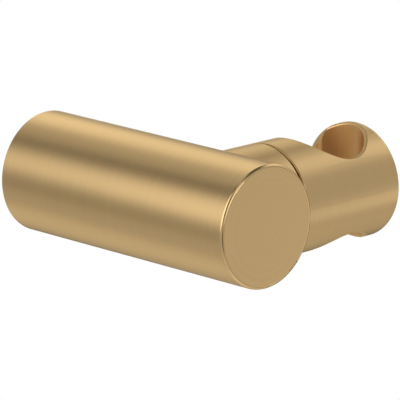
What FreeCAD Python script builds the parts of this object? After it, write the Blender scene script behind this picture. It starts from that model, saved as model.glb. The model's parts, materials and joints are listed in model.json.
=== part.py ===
import FreeCAD, Part
import math
import os

# Hand shower holder: a horizontal cylinder that stands off the wall, with a short side neck
# and a swivelling head that takes a hand shower's cone.
# Millimetres. The wall is the plane y = 0, the cylinder runs to -Y, the head points to +X, +Z is up.

# Body cylinder
body_radius = 15.0
body_length = 76.0
body_front_rounding = 0.8
body_wall_chamfer = 0.3

# Socket in the body's wall end that slides over the bracket
socket_wall = 3.0
socket_radius = body_radius - socket_wall
socket_depth = 42.0
socket_mouth_chamfer = 0.6
drill_point_half_angle = 59.0
drill_point_share = 0.25

# Neck and head share the swivel axis, parallel to X, this far behind the body's front face
swivel_setback = 17.35
swivel_y = swivel_setback - body_length
neck_step = 0.8
neck_radius = body_radius - neck_step
neck_reach = 1.7
neck_face_x = body_radius + neck_reach
neck_edge_chamfer = 0.3
seam_gap = 0.4

# Head
head_length = 32.0
head_start_x = neck_face_x + seam_gap
head_end_x = head_start_x + head_length
head_seam_rounding = 0.35
head_end_rounding = 0.5

# Tapered bore for the cone: a straight land below, opening upward, set in from the head's end
# and set back from the swivel axis, so that the wall is thick in front and thin at the slot
bore_land_radius = 10.75
bore_opening = 0.5
bore_top_radius = bore_land_radius + bore_opening
bore_end_wall = 1.55
bore_x = head_end_x - bore_end_wall - bore_top_radius
bore_setback = 1.1
bore_y = swivel_y + bore_setback
bore_land_top_z = -4.0
bore_rim_rounding = 0.6

# Hose slot through the back of the bore, its outer edges flared by a share of the room beside it
slot_width = 17.5
slot_flare_share = 0.86
slot_flare_radius = slot_flare_share * (bore_top_radius - slot_width / 2)
slot_flare_half_angle = 85.0

# Spigot on the head that runs in a pocket in the neck
pocket_wall = 4.7
pocket_radius = neck_radius - pocket_wall
pocket_depth = 4.0
pocket_floor_x = neck_face_x - pocket_depth
pocket_mouth_chamfer = 0.3
spigot_clearance = 0.08
spigot_end_gap = 0.4
spigot_edge_chamfer = 0.3

# Rubber ring in the spigot's groove
o_ring_section = 1.4
o_ring_groove_width = 1.8
o_ring_wall_gap = 0.1

# Friction ring between the neck's face and the head's face
friction_ring_inset = 0.7
friction_ring_width = 3.3
friction_ring_outer_radius = neck_radius - friction_ring_inset
friction_ring_inner_radius = friction_ring_outer_radius - friction_ring_width
friction_ring_recess = 0.8
friction_ring_side_gap = 0.05

# Pivot screw: shoulder screw with a low socket head
shoulder_radius = 4.0
pivot_thread_radius = 3.0
pivot_thread_length = 9.0
pivot_hole_extra_depth = 2.0
pivot_head_radius = 5.2
pivot_head_height = 2.8
pivot_socket_across_flats = 4.0
pivot_socket_depth = 2.0
thread_clearance = 0.05
screw_chamfer = 0.4

# Plastic bush pressed in the head, on the screw's shoulder
bush_wall = 1.0
bush_clearance = 0.04
bush_end_chamfer = 0.2

# Steel washer and two coned springs under the screw's head
washer_clearance = 0.15
washer_outer_radius = 5.7
washer_thickness = 0.8
spring_clearance = 0.2
spring_outer_radius = 5.5
spring_thickness = 0.3
spring_height = 0.5
spring_count = 2

# Counterbore in the head for the screw's head, springs and washer, which end just short of the bore
counterbore_radius = 6.0
pivot_head_to_bore = 0.5
pivot_head_top_x = bore_x - bore_land_radius - pivot_head_to_bore
pivot_head_under_x = pivot_head_top_x - pivot_head_height
counterbore_floor_x = pivot_head_under_x - spring_count * spring_height - washer_thickness

# Wall bracket: a cup with two countersunk holes and a V-groove
bracket_clearance = 0.1
bracket_length = 12.0
bracket_base = 4.0
bracket_rim_wall = 2.0
bracket_edge_chamfer = 0.5
wall_hole_radius = 2.25
wall_hole_spacing = 11.5
countersink_radius = 4.0
groove_y = -6.5
groove_depth = 1.1
groove_tip_gap = 0.15

# Grub screw from below
grub_radius = 2.5
grub_sink = 0.4
grub_socket_across_flats = 2.5
grub_socket_depth = 1.6
grub_tip_flat_radius = 0.5

# Rubber ring in the body's wall end, in the middle of its wall
seal_mid_radius = (body_radius + socket_radius) / 2
seal_width = 1.2
seal_depth = 1.0
seal_side_gap = 0.05
seal_edge_rounding = 0.2

# How far cutters reach past a face, and how near a point counts as on an edge
cut_past = 1.0
near = 0.01
near_rim = 0.02
rim_margin = 0.1

axis_x = FreeCAD.Vector(1, 0, 0)
axis_y = FreeCAD.Vector(0, 1, 0)
axis_z = FreeCAD.Vector(0, 0, 1)
swivel_origin = FreeCAD.Vector(0, swivel_y, 0)


def rod_x(radius, x_from, x_to):
    """A cylinder on the swivel axis."""
    start = FreeCAD.Vector(x_from, swivel_y, 0)
    rod = Part.makeCylinder(radius, x_to - x_from, start, axis_x)
    return rod.rotate(swivel_origin, axis_x, 90)


def rod_y(radius, y_from, y_to):
    """A cylinder on the body's axis, running away from the wall."""
    start = FreeCAD.Vector(0, y_from, 0)
    return Part.makeCylinder(radius, y_from - y_to, start, -axis_y)


def turned_x(profile):
    """A solid turned about the swivel axis from (x, radius) points."""
    points = [FreeCAD.Vector(x, swivel_y, radius) for x, radius in profile]
    face = Part.Face(Part.makePolygon(points + points[:1]))
    return face.revolve(swivel_origin, axis_x, 360)


def turned_y(profile):
    """A solid turned about the body's axis from (y, radius) points."""
    points = [FreeCAD.Vector(radius, y, 0) for y, radius in profile]
    face = Part.Face(Part.makePolygon(points + points[:1]))
    return face.revolve(FreeCAD.Vector(0, 0, 0), axis_y, 360)


def hexagon_prism(centre, direction, across_flats, depth):
    """A hexagonal prism for a key socket."""
    corner = across_flats / math.sqrt(3)
    turn = FreeCAD.Rotation(axis_z, direction)
    points = []
    for step in range(7):
        angle = math.radians(60 * step)
        flat = FreeCAD.Vector(corner * math.cos(angle), corner * math.sin(angle), 0)
        points.append(centre + turn.multVec(flat))
    return Part.Face(Part.makePolygon(points)).extrude(direction * depth)


def edges_at(shape, test):
    """The shape's edges whose sample points all pass the test."""
    found = []
    for edge in shape.Edges:
        points = edge.discretize(Number=7)
        if all(test(point) for point in points):
            found.append(edge)
    return found


def distance_from_swivel(point):
    return math.hypot(point.y - swivel_y, point.z)


def make_body():
    cylinder = rod_y(body_radius, 0, -body_length)
    front = edges_at(cylinder, lambda p: abs(p.y + body_length) < near)
    cylinder = cylinder.makeFillet(body_front_rounding, front)
    rear = edges_at(cylinder, lambda p: abs(p.y) < near and math.hypot(p.x, p.z) > body_radius - near)
    cylinder = cylinder.makeChamfer(body_wall_chamfer, rear)

    neck = rod_x(neck_radius, 0, neck_face_x)
    neck_edge = edges_at(neck, lambda p: abs(p.x - neck_face_x) < near)
    neck = neck.makeChamfer(neck_edge_chamfer, neck_edge)
    body = cylinder.fuse(neck)

    # socket with a drilled point at its end
    point_depth = socket_radius / math.tan(math.radians(drill_point_half_angle)) * drill_point_share
    point_radius = socket_radius * (1 - drill_point_share)
    socket = turned_y([
        (0, 0),
        (0, socket_radius + socket_mouth_chamfer),
        (-socket_mouth_chamfer, socket_radius),
        (-socket_depth, socket_radius),
        (-socket_depth - point_depth, point_radius),
        (-socket_depth - point_depth, 0),
    ])
    body = body.cut(socket)

    seal_outer = rod_y(seal_mid_radius + seal_width / 2, 0, -seal_depth)
    seal_inner = rod_y(seal_mid_radius - seal_width / 2, 0, -seal_depth)
    body = body.cut(seal_outer.cut(seal_inner))

    grub_start = FreeCAD.Vector(0, groove_y, -body_radius)
    body = body.cut(Part.makeCylinder(grub_radius, body_radius - socket_radius / 2, grub_start, axis_z))

    # pocket, ring recess and tapped hole in the neck, all on the swivel axis
    thread_end = pocket_floor_x - pivot_thread_length - pivot_hole_extra_depth
    tip = pivot_thread_radius / math.tan(math.radians(drill_point_half_angle))
    body = body.cut(turned_x([
        (neck_face_x, 0),
        (neck_face_x, pocket_radius + pocket_mouth_chamfer),
        (neck_face_x - pocket_mouth_chamfer, pocket_radius),
        (pocket_floor_x, pocket_radius),
        (pocket_floor_x, pivot_thread_radius + screw_chamfer),
        (pocket_floor_x - screw_chamfer, pivot_thread_radius),
        (thread_end, pivot_thread_radius),
        (thread_end - tip, 0),
    ]))
    recess_floor = neck_face_x - friction_ring_recess
    recess_outer = rod_x(friction_ring_outer_radius + friction_ring_side_gap, recess_floor, neck_face_x)
    recess_inner = rod_x(friction_ring_inner_radius - friction_ring_side_gap, recess_floor, neck_face_x)
    return body.cut(recess_outer.cut(recess_inner))


def make_friction_ring():
    start = neck_face_x - friction_ring_recess
    end = neck_face_x + seam_gap
    return rod_x(friction_ring_outer_radius, start, end).cut(rod_x(friction_ring_inner_radius, start, end))


def flare_cutter(side):
    """What rounds one slot side's outer edge, turned about the swivel axis."""
    wall_x = bore_x + side * slot_width / 2
    flare_x = wall_x + side * slot_flare_radius
    root_y = swivel_y + neck_radius - slot_flare_radius
    outside_y = swivel_y + neck_radius
    slant = slot_flare_radius * math.sqrt(0.5)
    start = FreeCAD.Vector(wall_x, root_y, 0)
    middle = FreeCAD.Vector(flare_x - side * slant, root_y + slant, 0)
    end = FreeCAD.Vector(flare_x, outside_y, 0)
    clear_end = FreeCAD.Vector(flare_x, outside_y + cut_past, 0)
    clear_middle = FreeCAD.Vector(bore_x, outside_y + cut_past, 0)
    root = FreeCAD.Vector(bore_x, root_y, 0)
    arc = Part.Arc(start, middle, end).toShape()
    face = Part.Face(Part.Wire([arc] + Part.makePolygon([end, clear_end, clear_middle, root, start]).Edges))
    face.rotate(swivel_origin, axis_x, -slot_flare_half_angle)
    return face.revolve(swivel_origin, axis_x, 2 * slot_flare_half_angle)


def make_head():
    head = rod_x(neck_radius, head_start_x, head_end_x)
    seam_edge = edges_at(head, lambda p: abs(p.x - head_start_x) < near)
    head = head.makeFillet(head_seam_rounding, seam_edge)
    end_edge = edges_at(head, lambda p: abs(p.x - head_end_x) < near)
    head = head.makeFillet(head_end_rounding, end_edge)

    # bore: straight land below, taper above
    bottom = FreeCAD.Vector(bore_x, bore_y, -neck_radius - cut_past)
    land = Part.makeCylinder(bore_land_radius, bore_land_top_z - bottom.z, bottom, axis_z)
    rise = neck_radius - bore_land_top_z
    past_top_radius = bore_top_radius + bore_opening / rise * cut_past
    land_top = FreeCAD.Vector(bore_x, bore_y, bore_land_top_z)
    taper = Part.makeCone(bore_land_radius, past_top_radius, rise + cut_past, land_top, axis_z)
    head = head.cut(land).cut(taper)

    # slot through the back of the bore
    slot_start = FreeCAD.Vector(bore_x - slot_width / 2, bore_y, -neck_radius - cut_past)
    reach = neck_radius + cut_past
    head = head.cut(Part.makeBox(slot_width, reach, 2 * reach, slot_start))

    def on_rim(point):
        in_reach = abs(point.x - bore_x) < bore_top_radius + rim_margin
        return in_reach and abs(distance_from_swivel(point) - neck_radius) < near_rim

    def on_corner(point):
        on_slot_side = abs(abs(point.x - bore_x) - slot_width / 2) < near
        from_bore = math.hypot(point.x - bore_x, point.y - bore_y)
        return on_slot_side and bore_land_radius - rim_margin < from_bore < bore_top_radius + rim_margin

    # one rounding round both rims and down the corners, then the flares open the slot's outer edges
    head = head.makeFillet(bore_rim_rounding, edges_at(head, on_rim) + edges_at(head, on_corner))
    for side in (-1, 1):
        head = head.cut(flare_cutter(side))

    # spigot with its rubber ring's groove
    spigot_radius = pocket_radius - spigot_clearance
    spigot_end = pocket_floor_x + spigot_end_gap
    groove_root = pocket_radius - o_ring_wall_gap - o_ring_section
    groove_middle = (spigot_end + head_start_x) / 2
    groove_start = groove_middle - o_ring_groove_width / 2
    groove_end = groove_middle + o_ring_groove_width / 2
    spigot = turned_x([
        (head_start_x + cut_past, 0),
        (head_start_x + cut_past, spigot_radius),
        (groove_end, spigot_radius),
        (groove_end, groove_root),
        (groove_start, groove_root),
        (groove_start, spigot_radius),
        (spigot_end + spigot_edge_chamfer, spigot_radius),
        (spigot_end, spigot_radius - spigot_edge_chamfer),
        (spigot_end, 0),
    ])
    head = head.fuse(spigot)

    bush_radius = shoulder_radius + bush_clearance + bush_wall
    head = head.cut(rod_x(bush_radius, spigot_end - cut_past, counterbore_floor_x))
    return head.cut(rod_x(counterbore_radius, counterbore_floor_x, bore_x))


def make_bush():
    start = pocket_floor_x + spigot_end_gap
    inner = shoulder_radius + bush_clearance
    outer = inner + bush_wall
    return turned_x([
        (start, inner),
        (start, outer - bush_end_chamfer),
        (start + bush_end_chamfer, outer),
        (counterbore_floor_x, outer),
        (counterbore_floor_x, inner),
    ])


def make_o_ring():
    middle = (pocket_floor_x + spigot_end_gap + head_start_x) / 2
    ring_radius = pocket_radius - o_ring_wall_gap - o_ring_section / 2
    return Part.makeTorus(ring_radius, o_ring_section / 2, FreeCAD.Vector(middle, swivel_y, 0), axis_x)


def make_pivot_screw():
    thread_radius = pivot_thread_radius - thread_clearance
    thread_tip = pocket_floor_x - pivot_thread_length
    screw = turned_x([
        (thread_tip, 0),
        (thread_tip, thread_radius - screw_chamfer),
        (thread_tip + screw_chamfer, thread_radius),
        (pocket_floor_x, thread_radius),
        (pocket_floor_x, shoulder_radius),
        (pivot_head_under_x, shoulder_radius),
        (pivot_head_under_x, pivot_head_radius),
        (pivot_head_top_x - screw_chamfer, pivot_head_radius),
        (pivot_head_top_x, pivot_head_radius - screw_chamfer),
        (pivot_head_top_x, 0),
    ])
    centre = FreeCAD.Vector(pivot_head_top_x, swivel_y, 0)
    return screw.cut(hexagon_prism(centre, -axis_x, pivot_socket_across_flats, pivot_socket_depth))


def make_thrust_washer():
    start = counterbore_floor_x
    end = start + washer_thickness
    hole = rod_x(shoulder_radius + washer_clearance, start, end)
    return rod_x(washer_outer_radius, start, end).cut(hole)


def make_disc_springs():
    springs = []
    base = counterbore_floor_x + washer_thickness
    inner = shoulder_radius + spring_clearance
    rise = spring_height - spring_thickness
    for index in range(spring_count):
        # every second spring is turned round, so that the outer rims meet
        low = base + index * spring_height
        inner_start, outer_start = (low, low + rise) if index % 2 == 0 else (low + rise, low)
        springs.append(turned_x([
            (inner_start, inner),
            (inner_start + spring_thickness, inner),
            (outer_start + spring_thickness, spring_outer_radius),
            (outer_start, spring_outer_radius),
        ]))
    return Part.makeCompound(springs)


def make_wall_bracket():
    outer = socket_radius - bracket_clearance
    inner = outer - bracket_rim_wall
    bracket = turned_y([
        (0, 0),
        (0, outer - bracket_edge_chamfer),
        (-bracket_edge_chamfer, outer),
        (groove_y + groove_depth, outer),
        (groove_y, outer - groove_depth),
        (groove_y - groove_depth, outer),
        (-bracket_length + bracket_edge_chamfer, outer),
        (-bracket_length, outer - bracket_edge_chamfer),
        (-bracket_length, inner),
        (-bracket_base, inner),
        (-bracket_base, 0),
    ])
    sink_depth = countersink_radius - wall_hole_radius
    for side in (-1, 1):
        x = side * wall_hole_spacing / 2
        hole = Part.makeCylinder(wall_hole_radius, bracket_base, FreeCAD.Vector(x, 0, 0), -axis_y)
        sink_start = FreeCAD.Vector(x, -bracket_base, 0)
        sink = Part.makeCone(countersink_radius, wall_hole_radius, sink_depth, sink_start, axis_y)
        bracket = bracket.cut(hole).cut(sink)
    return bracket


def make_grub_screw():
    outer = socket_radius - bracket_clearance
    radius = grub_radius - thread_clearance
    top = -body_radius + grub_sink
    tip = -(outer - groove_depth + groove_tip_gap + grub_tip_flat_radius)
    cone_start = tip - (radius - grub_tip_flat_radius)
    profile = [
        (top, 0),
        (top, radius - screw_chamfer),
        (top + screw_chamfer, radius),
        (cone_start, radius),
        (tip, grub_tip_flat_radius),
        (tip, 0),
    ]
    points = [FreeCAD.Vector(r, groove_y, z) for z, r in profile]
    face = Part.Face(Part.makePolygon(points + points[:1]))
    start = FreeCAD.Vector(0, groove_y, top)
    screw = face.revolve(start, axis_z, 360)
    return screw.cut(hexagon_prism(start, axis_z, grub_socket_across_flats, grub_socket_depth))


def make_wall_seal():
    outer_radius = seal_mid_radius + seal_width / 2 - seal_side_gap
    inner_radius = seal_mid_radius - seal_width / 2 + seal_side_gap
    ring = rod_y(outer_radius, 0, -seal_depth).cut(rod_y(inner_radius, 0, -seal_depth))
    return ring.makeFillet(seal_edge_rounding, edges_at(ring, lambda p: abs(p.y + seal_depth) < near))


pieces = {
    "body": make_body(),
    "wall_bracket": make_wall_bracket(),
    "wall_seal": make_wall_seal(),
    "grub_screw": make_grub_screw(),
    "friction_ring": make_friction_ring(),
    "pivot_screw": make_pivot_screw(),
    "thrust_washer": make_thrust_washer(),
    "disc_springs": make_disc_springs(),
    "swivel_head": make_head(),
    "swivel_bush": make_bush(),
    "swivel_o_ring": make_o_ring(),
}

os.makedirs("parts", exist_ok=True)
for name, shape in pieces.items():
    if len(shape.Solids) == 1:
        shape = shape.Solids[0]
    if not shape.isValid():
        raise ValueError(name + " is not a valid solid")
    shape.exportStep("parts/" + name + ".step")
    print(name, len(shape.Solids), round(shape.Volume, 1))
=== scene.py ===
import json
import math
import bpy
from mathutils import Matrix, Vector

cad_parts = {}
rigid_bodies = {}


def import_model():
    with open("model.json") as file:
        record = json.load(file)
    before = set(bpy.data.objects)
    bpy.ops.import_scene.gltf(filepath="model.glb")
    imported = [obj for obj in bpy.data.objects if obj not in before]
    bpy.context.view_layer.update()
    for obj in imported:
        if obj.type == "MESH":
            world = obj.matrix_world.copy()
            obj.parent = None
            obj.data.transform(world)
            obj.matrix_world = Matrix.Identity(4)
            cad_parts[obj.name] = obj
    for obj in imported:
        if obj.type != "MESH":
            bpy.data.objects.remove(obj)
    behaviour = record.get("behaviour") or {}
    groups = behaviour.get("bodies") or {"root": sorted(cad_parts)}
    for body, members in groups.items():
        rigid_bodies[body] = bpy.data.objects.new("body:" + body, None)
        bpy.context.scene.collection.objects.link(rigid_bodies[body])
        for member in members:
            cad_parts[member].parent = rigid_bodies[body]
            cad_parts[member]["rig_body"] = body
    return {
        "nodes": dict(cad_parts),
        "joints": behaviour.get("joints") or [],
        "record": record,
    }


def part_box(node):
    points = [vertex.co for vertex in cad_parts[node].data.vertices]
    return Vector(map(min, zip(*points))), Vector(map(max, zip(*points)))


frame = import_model()
starterTypes = {"MESH", "LIGHT", "CAMERA"}
starters = [o for o in bpy.data.objects if "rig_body" not in o and o.type in starterTypes]
for starter in starters:
    bpy.data.objects.remove(starter)
bpy.context.view_layer.update()
nodes = frame["nodes"]
swivelPlace = Vector(frame["joints"][0]["pos_m"])
print("frame loaded:", len(nodes), "nodes")


# Shader helpers: those that make a value return its socket

def newMaterial(name):
    material = bpy.data.materials.new(name)
    material.use_nodes = True
    tree = material.node_tree
    return material, tree, tree.nodes["Principled BSDF"]


def feed(tree, socket, value):
    if isinstance(value, bpy.types.NodeSocket):
        tree.links.new(value, socket)
    else:
        socket.default_value = (*value, 1) if socket.type == "RGBA" else value


def mathNode(tree, operation, first, second=0.0):
    node = tree.nodes.new("ShaderNodeMath")
    node.operation = operation
    feed(tree, node.inputs[0], first)
    feed(tree, node.inputs[1], second)
    return node.outputs[0]


def objectPosition(tree, centre=(0, 0, 0)):
    coordinates = tree.nodes.new("ShaderNodeTexCoord")
    mapping = tree.nodes.new("ShaderNodeMapping")
    mapping.inputs["Location"].default_value = [-c for c in centre]
    tree.links.new(coordinates.outputs["Object"], mapping.inputs["Vector"])
    return mapping.outputs["Vector"]


def axes(tree, vector):
    split = tree.nodes.new("ShaderNodeSeparateXYZ")
    tree.links.new(vector, split.inputs[0])
    return split.outputs


def radiusOf(tree, first, second):
    firstSquare = mathNode(tree, "MULTIPLY", first, first)
    secondSquare = mathNode(tree, "MULTIPLY", second, second)
    return mathNode(tree, "SQRT", mathNode(tree, "ADD", firstSquare, secondSquare))


def noiseAt(tree, values, scales, detail=2.0):
    combine = tree.nodes.new("ShaderNodeCombineXYZ")
    for socket, value, scale in zip(combine.inputs, values, scales):
        tree.links.new(mathNode(tree, "MULTIPLY", value, scale), socket)
    noise = tree.nodes.new("ShaderNodeTexNoise")
    noise.inputs["Scale"].default_value = 1.0
    noise.inputs["Detail"].default_value = detail
    tree.links.new(combine.outputs[0], noise.inputs["Vector"])
    return noise.outputs["Fac"]


def mixValue(tree, factor, first, second):
    mix = tree.nodes.new("ShaderNodeMix")
    mix.data_type = "FLOAT"
    feed(tree, mix.inputs["Factor"], factor)
    feed(tree, mix.inputs["A"], first)
    feed(tree, mix.inputs["B"], second)
    return mix.outputs["Result"]


# places of a mix node's colour sockets, as their names repeat for each kind of value
colourSockets = {"factor": 0, "first": 6, "second": 7, "result": 2}


def mixColour(tree, factor, first, second):
    mix = tree.nodes.new("ShaderNodeMix")
    mix.data_type = "RGBA"
    tree.links.new(factor, mix.inputs[colourSockets["factor"]])
    feed(tree, mix.inputs[colourSockets["first"]], first)
    feed(tree, mix.inputs[colourSockets["second"]], second)
    return mix.outputs[colourSockets["result"]]


def fadeBetween(tree, value, start, end):
    # 0 at the start, 1 at the end, whichever of them is lower
    rising = start < end
    fade = tree.nodes.new("ShaderNodeMapRange")
    fade.interpolation_type = "SMOOTHSTEP"
    fade.inputs["From Min"].default_value = start if rising else end
    fade.inputs["From Max"].default_value = end if rising else start
    fade.inputs["To Min"].default_value = 0.0 if rising else 1.0
    fade.inputs["To Max"].default_value = 1.0 if rising else 0.0
    feed(tree, fade.inputs["Value"], value)
    return fade.outputs["Result"]


def addBump(tree, shader, height, strength, depth):
    bump = tree.nodes.new("ShaderNodeBump")
    bump.inputs["Strength"].default_value = strength
    bump.inputs["Distance"].default_value = depth
    tree.links.new(height, bump.inputs["Height"])
    tree.links.new(bump.outputs["Normal"], shader.inputs["Normal"])


# Brushed gold of the body and the head: fine streaks run round each turned form

gold = {
    # colours of the streaks, and of the metal at a grazing view
    "light": (0.671, 0.465, 0.222),
    "deep": (0.587, 0.403, 0.191),
    "edgeTint": (0.90, 0.82, 0.66),
    "roughness": 0.29,
    "roughnessSpread": 0.03,
    # streaks, as noise scales per metre over and along them
    "fineStreaks": 5200.0,
    "broadStreaks": 1700.0,
    "alongStreaks": 30.0,
    "fineShare": 0.4,
    "bump": 0.03,
    "bumpDepth": 0.00003,
    # bore and slot, whose walls are left from the cutter; their colour is painted bounce light, a
    # tone standing in for light bouncing inside the bore
    "insideWithPaintedBounce": (0.70, 0.442, 0.198),
    "insideRoughness": 0.365,
    # polished front edge, blasted bore rim, and painted shade on the seam's faces
    "edgeRoughness": 0.18,
    "rimRoughness": 0.55,
    "paintedSeamShade": (0.36, 0.19, 0.05),
}
boreFinish = {"radius": 0.01126, "slotHalf": 0.00878, "rim": 0.0008}  # a hair past the walls
# the seam's gap, and the widths over which painted shade darkens the faces next to it
seam = {"gap": 0.0004, "headFade": 0.00024, "neckFade": 0.00015}
bodyFinish = {"radius": 0.01505, "edgeRadius": 0.0142, "edgeFront": -0.0752}
borePlace = next(m["pos_m"] for m in frame["record"]["mounts"] if m["name"] == "cone_bore")
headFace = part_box("friction_ring")[1][0]
neckFace = headFace - seam["gap"]


def brushedGold(tree, shader, place, insideWithPaintedBounce=None, rim=None, edge=None, seamShade=None):
    # the place's first value runs over the streaks, the others along them
    along = gold["alongStreaks"]
    fine = noiseAt(tree, place, (gold["fineStreaks"], along, along))
    broad = noiseAt(tree, place, (gold["broadStreaks"], along, along))
    both = mixValue(tree, gold["fineShare"], broad, fine)
    colour = mixColour(tree, both, gold["deep"], gold["light"])
    spread = gold["roughnessSpread"]
    roughness = mixValue(tree, both, gold["roughness"] - spread, gold["roughness"] + spread)
    # painted bounce light: the bore and slot walls take a tone standing in for light bouncing
    # inside them
    if insideWithPaintedBounce is not None:
        colour = mixColour(tree, insideWithPaintedBounce, colour, gold["insideWithPaintedBounce"])
        roughness = mixValue(tree, insideWithPaintedBounce, roughness, gold["insideRoughness"])
    if rim is not None:
        roughness = mixValue(tree, rim, roughness, gold["rimRoughness"])
    if edge is not None:
        roughness = mixValue(tree, edge, roughness, gold["edgeRoughness"])
    # painted shade: the faces by the seam turn dark brown where shade falls between body and head
    if seamShade is not None:
        colour = mixColour(tree, seamShade, colour, gold["paintedSeamShade"])
    tree.links.new(colour, shader.inputs["Base Color"])
    tree.links.new(roughness, shader.inputs["Roughness"])
    shader.inputs["Metallic"].default_value = 1.0
    shader.inputs["Specular Tint"].default_value = (*gold["edgeTint"], 1)
    addBump(tree, shader, fine, gold["bump"], gold["bumpDepth"])


def bodyGold():
    material, tree, shader = newMaterial("brushedGoldBody")
    x, y, z = axes(tree, objectPosition(tree))
    radius = radiusOf(tree, x, z)
    nx, ny, nz = axes(tree, objectPosition(tree, (0, swivelPlace.y, 0)))
    onNeck = mathNode(tree, "GREATER_THAN", radius, bodyFinish["radius"])
    neckWay = mathNode(tree, "SUBTRACT", nx, radiusOf(tree, ny, nz))
    way = mixValue(tree, onNeck, mathNode(tree, "ADD", radius, y), neckWay)
    nearRim = mathNode(tree, "GREATER_THAN", radius, bodyFinish["edgeRadius"])
    atFront = mathNode(tree, "LESS_THAN", y, bodyFinish["edgeFront"])
    frontEdge = mathNode(tree, "MULTIPLY", nearRim, atFront)
    # painted shade on the neck's face at the seam
    shade = fadeBetween(tree, x, neckFace - seam["neckFade"], neckFace)
    side = mixValue(tree, onNeck, x, ny)
    brushedGold(tree, shader, (way, side, z), edge=frontEdge, seamShade=shade)
    return material


def headGold():
    material, tree, shader = newMaterial("brushedGoldHead")
    x, y, z = axes(tree, objectPosition(tree, (0, swivelPlace.y, 0)))
    way = mathNode(tree, "SUBTRACT", x, radiusOf(tree, y, z))
    bx, by, _ = axes(tree, objectPosition(tree, borePlace))
    fromBore = radiusOf(tree, bx, by)
    inBore = mathNode(tree, "LESS_THAN", fromBore, boreFinish["radius"])
    nearBore = mathNode(tree, "LESS_THAN", fromBore, boreFinish["radius"] + boreFinish["rim"])
    onRim = mathNode(tree, "SUBTRACT", nearBore, inBore)
    acrossSlot = mathNode(tree, "LESS_THAN", mathNode(tree, "ABSOLUTE", bx), boreFinish["slotHalf"])
    inSlot = mathNode(tree, "MULTIPLY", acrossSlot, mathNode(tree, "GREATER_THAN", by, 0.0))
    # the bore and slot walls, which get painted bounce light and their own roughness
    insideWithPaintedBounce = mathNode(tree, "MAXIMUM", inBore, inSlot)
    # painted shade on the head's face at the seam
    shade = fadeBetween(tree, x, headFace + seam["headFade"], headFace)
    brushedGold(tree, shader, (way, y, z), insideWithPaintedBounce=insideWithPaintedBounce, rim=onRim, seamShade=shade)
    return material


nodes["body"].material_slots[0].material = bodyGold()
nodes["swivel_head"].material_slots[0].material = headGold()
print("gold on body and head")


# Finishes of the parts that the two gold forms hold, each with the marks of how it was made

turned = {
    "wall_bracket": {
        "finish": "turnedBrass", "about": "wall",
        "light": (0.76, 0.57, 0.27), "deep": (0.58, 0.40, 0.17),
        "roughness": 0.31, "spread": 0.07, "grooves": 3400.0, "stains": 160.0,
        "bump": 0.16, "depth": 0.00004,
    },
    "grub_screw": {
        "finish": "stainlessSteelGrub", "about": "grub",
        "light": (0.62, 0.61, 0.59), "deep": (0.47, 0.46, 0.45),
        "roughness": 0.30, "spread": 0.06, "grooves": 6500.0, "stains": 420.0,
        "bump": 0.12, "depth": 0.00003,
    },
    "pivot_screw": {
        "finish": "stainlessSteelScrew", "about": "swivel",
        "light": (0.64, 0.63, 0.61), "deep": (0.50, 0.49, 0.48),
        "roughness": 0.27, "spread": 0.06, "grooves": 5200.0, "stains": 300.0,
        "bump": 0.12, "depth": 0.00003,
    },
    "disc_springs": {
        "finish": "springSteel", "about": "swivel",
        "light": (0.46, 0.42, 0.37), "deep": (0.31, 0.29, 0.28),
        "roughness": 0.36, "spread": 0.08, "grooves": 3000.0, "stains": 520.0,
        "bump": 0.10, "depth": 0.00003,
    },
    "thrust_washer": {
        "finish": "groundSteel", "about": "swivel",
        "light": (0.66, 0.65, 0.63), "deep": (0.55, 0.54, 0.53),
        "roughness": 0.22, "spread": 0.05, "grooves": 7200.0, "stains": 260.0,
        "bump": 0.08, "depth": 0.00003,
    },
}
moulded = {
    "friction_ring": {
        "finish": "darkPlastic",
        "light": (0.060, 0.040, 0.020), "deep": (0.038, 0.026, 0.014),
        "roughness": 0.46, "spread": 0.07, "grain": 2600.0, "cloud": 240.0,
        "bump": 0.14, "depth": 0.00004,
    },
    "swivel_bush": {
        "finish": "whitePlastic",
        "light": (0.80, 0.79, 0.75), "deep": (0.72, 0.70, 0.65),
        "roughness": 0.40, "spread": 0.05, "grain": 1900.0, "cloud": 300.0,
        "bump": 0.08, "depth": 0.00003,
    },
    "wall_seal": {
        "finish": "sealRubber",
        "light": (0.034, 0.034, 0.035), "deep": (0.019, 0.019, 0.020),
        "roughness": 0.66, "spread": 0.09, "grain": 3200.0, "cloud": 420.0,
        "bump": 0.22, "depth": 0.00005,
    },
    "swivel_o_ring": {
        "finish": "ringRubber",
        "light": (0.030, 0.030, 0.031), "deep": (0.017, 0.017, 0.018),
        "roughness": 0.58, "spread": 0.08, "grain": 3600.0, "cloud": 520.0,
        "bump": 0.18, "depth": 0.00005,
    },
}
turnedMarks = {"alongGrooves": 60.0, "stainDetail": 5.0, "stainShare": 0.45}
mouldedMarks = {"grainDetail": 4.0, "cloudDetail": 3.0, "grainShare": 0.35}
grubLow, grubHigh = (Vector(corner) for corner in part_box("grub_screw"))


def turnedWay(tree, about):
    # what runs over the grooves of a piece turned about that axis, and the place itself
    if about == "wall":
        x, y, z = axes(tree, objectPosition(tree))
        return mathNode(tree, "ADD", y, radiusOf(tree, x, z)), (x, y, z)
    if about == "grub":
        x, y, z = axes(tree, objectPosition(tree, (grubLow + grubHigh) / 2))
        return mathNode(tree, "ADD", z, radiusOf(tree, x, y)), (x, y, z)
    x, y, z = axes(tree, objectPosition(tree, (0, swivelPlace.y, 0)))
    return mathNode(tree, "SUBTRACT", x, radiusOf(tree, y, z)), (x, y, z)


def fromDeepToLight(tree, shader, share, recipe):
    colour = mixColour(tree, share, recipe["deep"], recipe["light"])
    tree.links.new(colour, shader.inputs["Base Color"])


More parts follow.
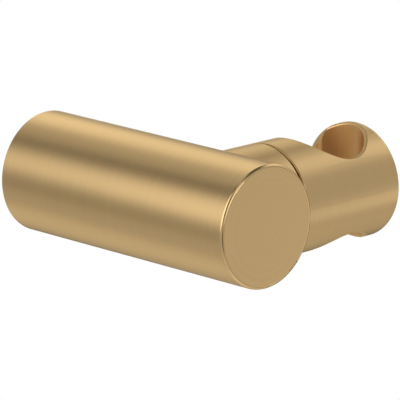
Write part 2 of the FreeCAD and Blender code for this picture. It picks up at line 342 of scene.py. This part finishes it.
def turnedMetal(recipe):
    material, tree, shader = newMaterial(recipe["finish"])
    way, place = turnedWay(tree, recipe["about"])
    along = turnedMarks["alongGrooves"]
    grooves = noiseAt(tree, (way, place[0], place[2]), (recipe["grooves"], along, along))
    stains = noiseAt(tree, place, (recipe["stains"],) * 3, turnedMarks["stainDetail"])
    share = mixValue(tree, turnedMarks["stainShare"], grooves, stains)
    fromDeepToLight(tree, shader, share, recipe)
    rough, spread = recipe["roughness"], recipe["spread"]
    roughness = mixValue(tree, stains, rough + spread, rough - spread)
    tree.links.new(roughness, shader.inputs["Roughness"])
    shader.inputs["Metallic"].default_value = 1.0
    addBump(tree, shader, grooves, recipe["bump"], recipe["depth"])
    return material


def mouldedSoft(recipe):
    material, tree, shader = newMaterial(recipe["finish"])
    place = axes(tree, objectPosition(tree))
    grain = noiseAt(tree, place, (recipe["grain"],) * 3, mouldedMarks["grainDetail"])
    cloud = noiseAt(tree, place, (recipe["cloud"],) * 3, mouldedMarks["cloudDetail"])
    share = mixValue(tree, mouldedMarks["grainShare"], cloud, grain)
    fromDeepToLight(tree, shader, share, recipe)
    rough, spread = recipe["roughness"], recipe["spread"]
    roughness = mixValue(tree, grain, rough - spread, rough + spread)
    tree.links.new(roughness, shader.inputs["Roughness"])
    addBump(tree, shader, grain, recipe["bump"], recipe["depth"])
    return material


for name, recipe in turned.items():
    nodes[name].material_slots[0].material = turnedMetal(recipe)
for name, recipe in moulded.items():
    nodes[name].material_slots[0].material = mouldedSoft(recipe)
print("finishes on the held parts")


# Floor and world: white to the camera and in reflections, plain light for the rest

stage = {"floorDepth": 4.3, "floorSize": 40.0, "floorColour": (0.8, 0.8, 0.8), "plainLight": 0.8}
white = (1, 1, 1)


def whiteForViewers(tree):
    path = tree.nodes.new("ShaderNodeLightPath")
    both = mathNode(tree, "MAXIMUM", path.outputs["Is Camera Ray"], path.outputs["Is Glossy Ray"])
    return mathNode(tree, "MAXIMUM", both, path.outputs["Is Transmission Ray"])


def mixedSurface(tree, factor, first, second, output):
    mix = tree.nodes.new("ShaderNodeMixShader")
    tree.links.new(factor, mix.inputs[0])
    tree.links.new(first, mix.inputs[1])
    tree.links.new(second, mix.inputs[2])
    tree.links.new(mix.outputs[0], tree.nodes[output].inputs["Surface"])


def stageFloor():
    floorPlace = (0, 0, -stage["floorDepth"])
    bpy.ops.mesh.primitive_plane_add(size=stage["floorSize"], location=floorPlace)
    floor = bpy.context.object
    floor.name = "studioFloor"
    material, tree, shader = newMaterial("paleFloor")
    feed(tree, shader.inputs["Base Color"], stage["floorColour"])
    glow = tree.nodes.new("ShaderNodeEmission")
    feed(tree, glow.inputs["Color"], white)
    mixedSurface(tree, whiteForViewers(tree), shader.outputs[0], glow.outputs[0], "Material Output")
    floor.data.materials.append(material)


def stageWorld():
    world = bpy.data.worlds.new("studioWorld")
    bpy.context.scene.world = world
    world.use_nodes = True
    tree = world.node_tree
    plain = tree.nodes["Background"]
    feed(tree, plain.inputs["Color"], white)
    feed(tree, plain.inputs["Strength"], stage["plainLight"])
    shown = tree.nodes.new("ShaderNodeBackground")
    feed(tree, shown.inputs["Color"], white)
    feed(tree, shown.inputs["Strength"], 1.0)
    mixedSurface(tree, whiteForViewers(tree), plain.outputs[0], shown.outputs[0], "World Output")


# Light tent round the object: grey cloth, lit from outside in places and dark in others

tent = {
    "radius": 4.0,
    "segments": 64,
    "rings": 32,
    "level": 0.589,
    "darkest": 0.13,
    # azimuth from +X to +Y, height and reach in degrees, and what the patch adds to the level
    "patches": {
        "key": (61, 27, 22, 0.88),
        "back": (159, 28, 38, 2.47),
        "front": (265, 18, 27, 1.11),
        "side": (344, 38, 18, 0.71),
        "right": (14, 16, 35, 0.74),
        "low": (232, -69, 50, 0.22),
        "lowFront": (316, -67, 39, 0.24),
        "lowBack": (94, -49, 25, 0.26),
        "sideLow": (330, -19, 14.5, 0.73),
        "sparkLow": (48, -12, 13, 1.38),
        "lowHead": (26, -40, 20, 0.16),
        "flagTop": (28, 63, 18, -1.03),
        "flagBack": (148, 36, 40, -1.03),
        "flagLeft": (211, 33, 26, -0.69),
        "flagFront": (316, 62, 30, -0.49),
        "flagCorner": (28, 48, 12, -1.10),
        "flagLow": (18, -10, 36, -1.09),
        "flagUnder": (57, -20, 12, -1.69),
        "flagBelow": (130, -8, 19, -0.24),
        "flagHorizon": (247, -18, 19, -0.74),
    },
}


def directionOf(azimuth, height):
    azimuth, height = math.radians(azimuth), math.radians(height)
    flat = math.cos(height)
    return flat * math.cos(azimuth), flat * math.sin(azimuth), math.sin(height)


def patchOfLight(tree, direction, azimuth, height, reach, amount):
    dot = tree.nodes.new("ShaderNodeVectorMath")
    dot.operation = "DOT_PRODUCT"
    tree.links.new(direction, dot.inputs[0])
    dot.inputs[1].default_value = directionOf(azimuth, height)
    patch = fadeBetween(tree, dot.outputs["Value"], math.cos(math.radians(reach)), 1.0)
    return mathNode(tree, "MULTIPLY", patch, amount)


def stageTent():
    bpy.ops.mesh.primitive_uv_sphere_add(
        segments=tent["segments"], ring_count=tent["rings"], radius=tent["radius"],
        location=(0, swivelPlace.y, 0),
    )
    cloth = bpy.context.object
    cloth.name = "lightTent"
    cloth.visible_camera = False
    material, tree, shader = newMaterial("tentCloth")
    tree.nodes.remove(shader)
    outward = tree.nodes.new("ShaderNodeVectorMath")
    outward.operation = "NORMALIZE"
    tree.links.new(objectPosition(tree), outward.inputs[0])
    level = tent["level"]
    for patch in tent["patches"].values():
        level = mathNode(tree, "ADD", patchOfLight(tree, outward.outputs["Vector"], *patch), level)
    glow = tree.nodes.new("ShaderNodeEmission")
    feed(tree, glow.inputs["Color"], white)
    tree.links.new(mathNode(tree, "MAXIMUM", level, tent["darkest"]), glow.inputs["Strength"])
    tree.links.new(glow.outputs[0], tree.nodes["Material Output"].inputs["Surface"])
    cloth.data.materials.append(material)


stageFloor()
stageWorld()
stageTent()
print("stage and light set")


# Camera as the photograph was taken

camera = {
    "target": (0.0, -0.05864, 0.0),
    "heading": 45.05,  # from +Y to +X, in degrees like the other angles
    "elevation": 14.73,
    "distance": 0.950,
    "roll": 0.26,
    "pixelsPerMetre": 4231.2,  # at the target
    "offset": (14.7, 13.8),  # pixels to the right and down from the picture's middle to the target
    "sensor": 36.0,
    "picture": 400,
    "clip": (0.01, 100),
}


def placeCamera():
    heading, elevation, roll = (math.radians(camera[k]) for k in ("heading", "elevation", "roll"))
    flat = math.cos(elevation)
    forward = Vector((math.sin(heading) * flat, math.cos(heading) * flat, -math.sin(elevation)))
    level = Vector((math.cos(heading), -math.sin(heading), 0))
    upward = level.cross(forward)
    right = math.cos(roll) * level + math.sin(roll) * upward
    up = -math.sin(roll) * level + math.cos(roll) * upward
    focal = camera["pixelsPerMetre"] * camera["distance"]
    offsetRight, offsetDown = camera["offset"]
    aim = (forward - offsetRight / focal * right + offsetDown / focal * up).normalized()
    side = (right - right.dot(aim) * aim).normalized()
    data = bpy.data.cameras.new("photoCamera")
    data.sensor_width = camera["sensor"]
    data.lens = focal * camera["sensor"] / camera["picture"]
    data.clip_start, data.clip_end = camera["clip"]
    holder = bpy.data.objects.new("photoCamera", data)
    bpy.context.scene.collection.objects.link(holder)
    place = Vector(camera["target"]) - camera["distance"] * forward
    turn = Matrix((side, side.cross(aim), -aim)).transposed().to_4x4()
    holder.matrix_world = Matrix.Translation(place) @ turn
    bpy.context.scene.camera = holder


placeCamera()
bpy.context.scene.view_settings.view_transform = "Standard"
print("camera set")
